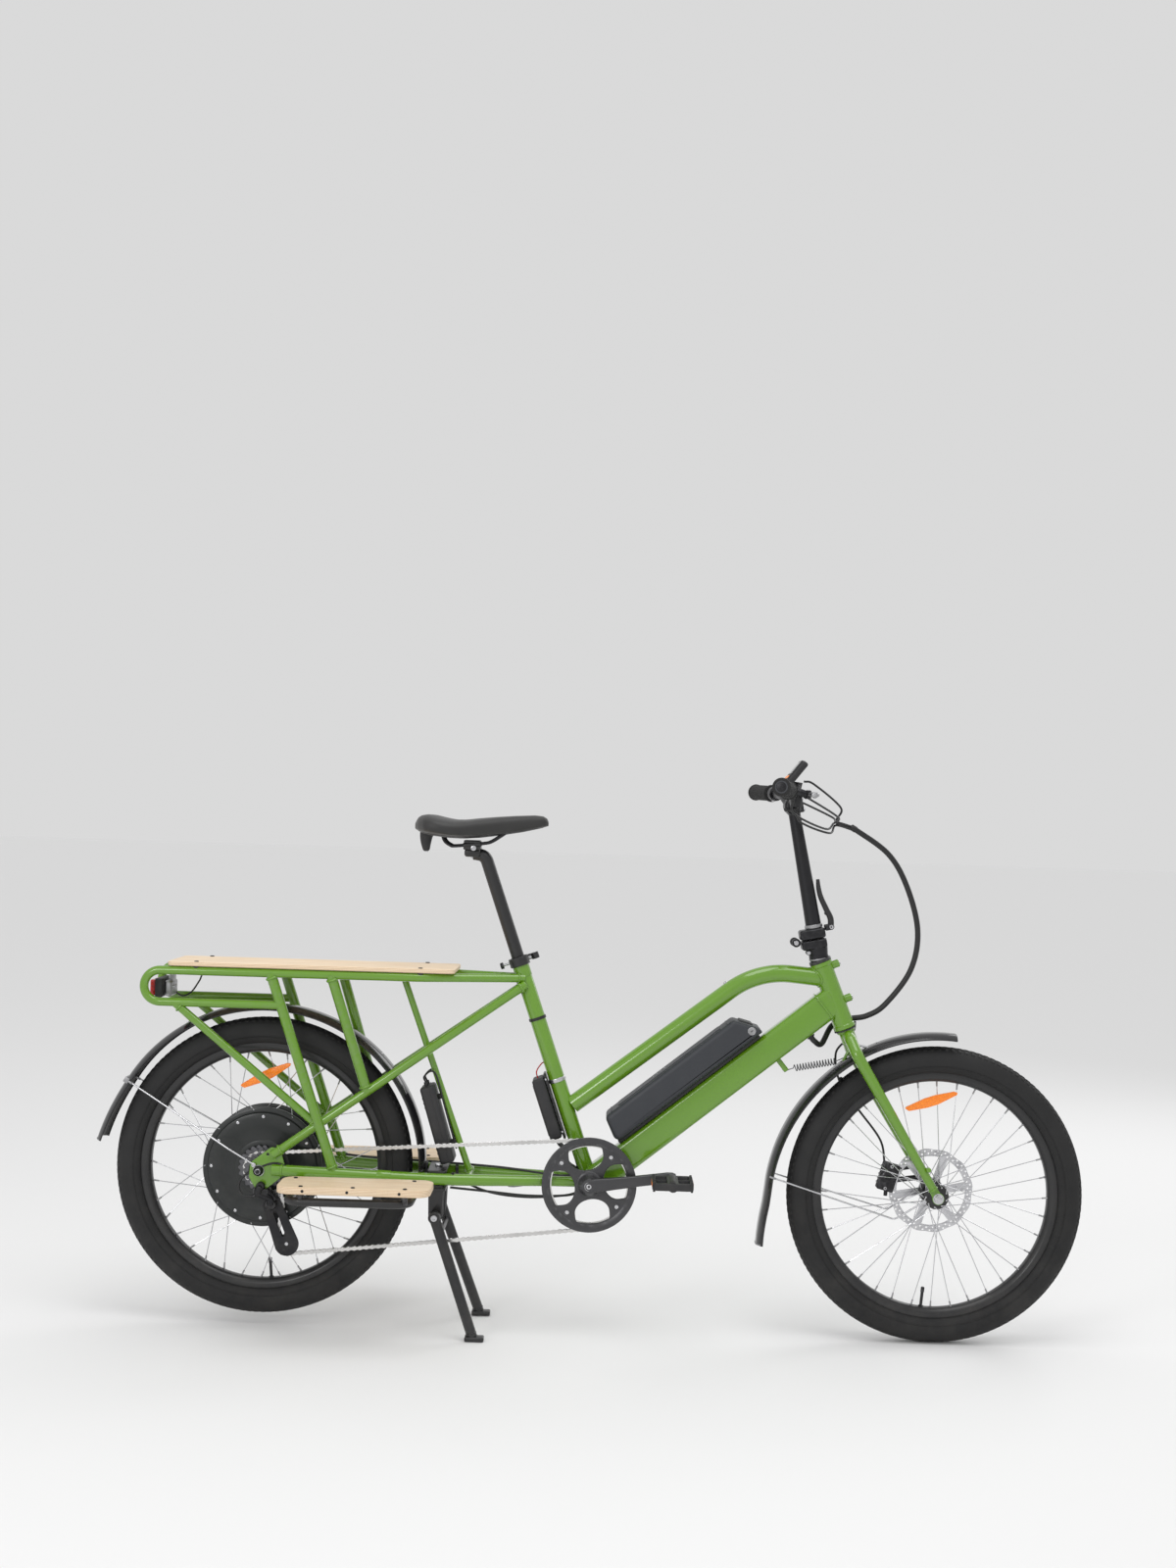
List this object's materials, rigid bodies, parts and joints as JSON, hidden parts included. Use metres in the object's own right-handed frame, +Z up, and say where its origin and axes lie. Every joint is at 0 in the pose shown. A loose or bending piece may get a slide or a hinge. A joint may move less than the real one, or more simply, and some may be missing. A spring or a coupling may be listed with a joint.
{
  "type": "electric longtail cargo bicycle",
  "caption": "Electric longtail cargo bike with low frame, rear cargo rack and deck, footboards, frame battery, hub motor, folding stem and centre stand.",
  "frame": {"origin": "on the ground, below the middle of the bike's overall length and width, as it stands on its centre stand", "axes": "+X forward along the direction of travel, +Y to the rider's left, +Z up; the drive side is at -Y"},
  "size_m": [2.0848, 0.6452, 1.2212],
  "materials": {
    "green_paint": "gloss bright green paint",
    "black_paint": "satin black",
    "motor_black": "satin black paint on aluminium",
    "black_plastic": "fine matt texture",
    "tyre_rubber": "ribbed tread and matt side walls",
    "grip_rubber": "matt rubber",
    "vinyl": "black artificial leather, slight sheen",
    "steel": "bright steel",
    "plywood": "pale birch plywood, clear varnish",
    "orange_lens": "moulded prisms",
    "red_lens": "clear red lens",
    "dark_metal": "dark anodised"
  },
  "bodies": {
    "frame": {"main_frame": "green_paint", "chainstay_right": "green_paint", "chainstay_left": "green_paint", "side_frame_right": "green_paint", "side_frame_left": "green_paint", "rack_rail_right": "green_paint", "rack_rail_left": "green_paint", "centre_strut": "green_paint", "deck_board": "plywood", "footboard_right": "plywood", "footboard_left": "plywood", "footboard_frame": "black_paint", "rear_mudguard": "black_plastic", "tail_light": "black_plastic", "tail_lens": "red_lens", "controller_case": "black_plastic", "converter_case": "black_plastic", "battery_rail": "black_plastic", "seat_clamp": "black_paint", "chain": "steel", "derailleur_body": "black_paint", "rear_caliper": "black_paint", "rear_axle": "dark_metal", "stand_bracket": "black_paint"},
    "battery_pack": {"battery": "black_plastic"},
    "seat_assembly": {"seatpost": "black_paint", "saddle": "vinyl"},
    "seat_lever": {"seat_clamp_lever": "black_paint"},
    "steering": {"fork": "green_paint", "front_axle": "dark_metal", "front_mudguard": "black_plastic", "front_caliper": "black_paint", "stem_base": "black_paint", "steering_spring": "steel", "cable_loom": "black_plastic"},
    "folding_stem": {"stem_post": "black_paint", "handlebar": "black_paint", "grip_right": "grip_rubber", "grip_left": "grip_rubber", "display": "black_plastic"},
    "latch": {"stem_latch": "black_paint"},
    "right_brake_lever": {"brake_lever_right": "dark_metal"},
    "left_brake_lever": {"brake_lever_left": "dark_metal"},
    "gear_lever": {"shift_lever": "black_plastic"},
    "front_wheel": {"front_tyre": "tyre_rubber", "front_rim": "motor_black", "front_hub": "dark_metal", "front_rotor": "steel", "front_reflector": "orange_lens"},
    "rear_wheel": {"rear_tyre": "tyre_rubber", "rear_rim": "motor_black", "hub_motor": "motor_black", "rear_rotor": "steel", "rear_reflector": "orange_lens"},
    "sprockets": {"cassette": "dark_metal"},
    "cranks": {"crankset": "motor_black"},
    "right_pedal": {"pedal_right": "black_plastic"},
    "left_pedal": {"pedal_left": "black_plastic"},
    "cage": {"derailleur_cage": "black_paint"},
    "stand": {"kickstand": "black_paint"}
  },
  "joints": [
    {"name": "steering_turn", "type": "hinge", "parent": "frame", "child": "steering", "pos_m": [0.53266, 0, 0.65396], "axis": [-0.3746, 0, 0.9272], "range_deg": [-60, 60], "stiffness_Nm_per_rad": 0.6, "deforming": ["steering_spring", "cable_loom"]},
    {"name": "front_wheel_spin", "type": "hinge", "parent": "steering", "child": "front_wheel", "pos_m": [0.72994, 0, 0.3125], "axis": [0, 1, 0], "continuous": true},
    {"name": "rear_wheel_spin", "type": "hinge", "parent": "frame", "child": "rear_wheel", "pos_m": [-0.68866, 0, 0.3325], "axis": [0, 1, 0], "continuous": true},
    {"name": "crank_spin", "type": "hinge", "parent": "frame", "child": "cranks", "pos_m": [-0.00066, 0, 0.32], "axis": [0, 1, 0], "continuous": true},
    {"name": "cassette_spin", "type": "hinge", "parent": "frame", "child": "sprockets", "pos_m": [-0.68866, 0, 0.3325], "axis": [0, 1, 0], "continuous": true},
    {"name": "right_pedal_spin", "type": "hinge", "parent": "cranks", "child": "right_pedal", "pos_m": [0.17016, -0.1375, 0.34401], "axis": [0, 1, 0], "continuous": true},
    {"name": "left_pedal_spin", "type": "hinge", "parent": "cranks", "child": "left_pedal", "pos_m": [-0.17148, 0.1375, 0.29599], "axis": [0, 1, 0], "continuous": true},
    {"name": "derailleur_cage_swing", "type": "hinge", "parent": "frame", "child": "cage", "pos_m": [-0.66266, -0.05, 0.262], "axis": [0, 1, 0], "range_deg": [-6, 20], "stiffness_Nm_per_rad": 1, "deforming": ["chain"]},
    {"name": "seatpost_slide", "type": "slide", "parent": "frame", "child": "seat_assembly", "axis": [-0.3338, 0, 0.9426], "range_m": [-0.12, 0.05]},
    {"name": "seat_clamp_lever_turn", "type": "hinge", "parent": "frame", "child": "seat_lever", "pos_m": [-0.13117, 0.0275, 0.79042], "axis": [-0.3338, 0, 0.9426], "range_deg": [-150, 0]},
    {"name": "stem_fold", "type": "hinge", "parent": "steering", "child": "folding_stem", "pos_m": [0.42019, 0, 0.83653], "axis": [0, -1, 0], "range_deg": [0, 95], "deforming": ["cable_loom"]},
    {"name": "stem_latch_turn", "type": "hinge", "parent": "folding_stem", "child": "latch", "pos_m": [0.49466, 0, 0.87195], "axis": [0, 1, 0], "range_deg": [0, 100]},
    {"name": "right_brake_lever_pull", "type": "hinge", "parent": "folding_stem", "child": "right_brake_lever", "pos_m": [0.42065, -0.168, 1.1472], "axis": [0, 0, -1], "range_deg": [0, 18], "stiffness_Nm_per_rad": 2, "springref_deg": -2.86},
    {"name": "left_brake_lever_pull", "type": "hinge", "parent": "folding_stem", "child": "left_brake_lever", "pos_m": [0.42065, 0.168, 1.1472], "axis": [0, 0, 1], "range_deg": [0, 18], "stiffness_Nm_per_rad": 2, "springref_deg": -2.86},
    {"name": "shift_lever_turn", "type": "hinge", "parent": "folding_stem", "child": "gear_lever", "pos_m": [0.40024, -0.134, 1.12622], "axis": [0, 0, 1], "range_deg": [0, 50]},
    {"name": "battery_slide", "type": "slide", "parent": "frame", "child": "battery_pack", "axis": [0.78, 0, 0.6258], "range_m": [0, 0.05]},
    {"name": "kickstand_swing", "type": "hinge", "parent": "frame", "child": "stand", "pos_m": [-0.32006, 0, 0.2469], "axis": [0, 1, 0], "range_deg": [0, 90], "stiffness_Nm_per_rad": 2, "springref_deg": -17.19}
  ],
  "couplings": [
    {"joint": "cassette_spin", "follows": "crank_spin", "ratio": 2.875}
  ]
}
